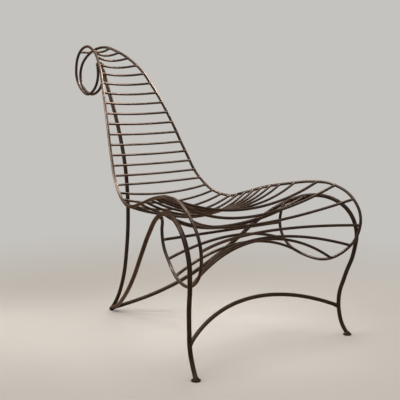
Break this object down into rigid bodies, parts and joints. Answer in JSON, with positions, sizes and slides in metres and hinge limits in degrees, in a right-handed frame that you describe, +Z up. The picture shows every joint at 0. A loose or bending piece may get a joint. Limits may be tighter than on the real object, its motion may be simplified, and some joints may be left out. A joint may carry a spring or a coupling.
{
  "type": "lounge chair",
  "caption": "Low armless lounge chair of bent round steel bar: ribbed back and dished seat flow into a rolled front, on two arched legs and a rear spine.",
  "frame": {"origin": "on the floor under the middle of the chair's width and depth", "axes": "+Z up, the sitter faces -Y, +X is the sitter's left"},
  "size_m": [0.682, 0.9182, 0.8553],
  "materials": {
    "rib_steel": "dark bronze-brown patina, satin, waxed",
    "rail_steel": "dark bronze-brown patina, satin, waxed",
    "leg_steel": "dark bronze-brown patina, satin, waxed",
    "foot_steel": "dark bronze-brown patina, satin, waxed"
  },
  "bodies": {
    "root": {"back_rib_01": "rib_steel", "back_rib_02": "rib_steel", "back_rib_03": "rib_steel", "back_rib_04": "rib_steel", "back_rib_05": "rib_steel", "back_rib_06": "rib_steel", "back_rib_07": "rib_steel", "back_rib_08": "rib_steel", "back_rib_09": "rib_steel", "back_rib_10": "rib_steel", "back_rib_11": "rib_steel", "back_rib_12": "rib_steel", "back_rib_13": "rib_steel", "back_rib_14": "rib_steel", "back_rib_15": "rib_steel", "back_rib_16": "rib_steel", "front_stretcher": "leg_steel", "left_front_pad": "foot_steel", "left_leg": "leg_steel", "left_rail": "rail_steel", "left_scroll": "rail_steel", "left_volute": "rail_steel", "rear_heel": "foot_steel", "rear_spine": "leg_steel", "right_front_pad": "foot_steel", "right_leg": "leg_steel", "right_rail": "rail_steel", "right_scroll": "rail_steel", "right_volute": "rail_steel", "roll_rib_01": "rib_steel", "roll_rib_02": "rib_steel", "roll_rib_03": "rib_steel", "roll_rib_04": "rib_steel", "roll_rib_05": "rib_steel", "roll_rib_06": "rib_steel", "roll_rib_07": "rib_steel", "seat_brace": "leg_steel", "seat_rib_01": "rib_steel", "seat_rib_02": "rib_steel", "seat_rib_03": "rib_steel", "seat_rib_04": "rib_steel", "seat_rib_05": "rib_steel", "seat_rib_06": "rib_steel", "seat_rib_07": "rib_steel", "seat_rib_08": "rib_steel", "seat_rib_09": "rib_steel", "seat_rib_10": "rib_steel", "seat_rib_11": "rib_steel", "tail_rib_01": "rib_steel", "tail_rib_02": "rib_steel", "volute_rib": "rib_steel"}
  },
  "joints": []
}
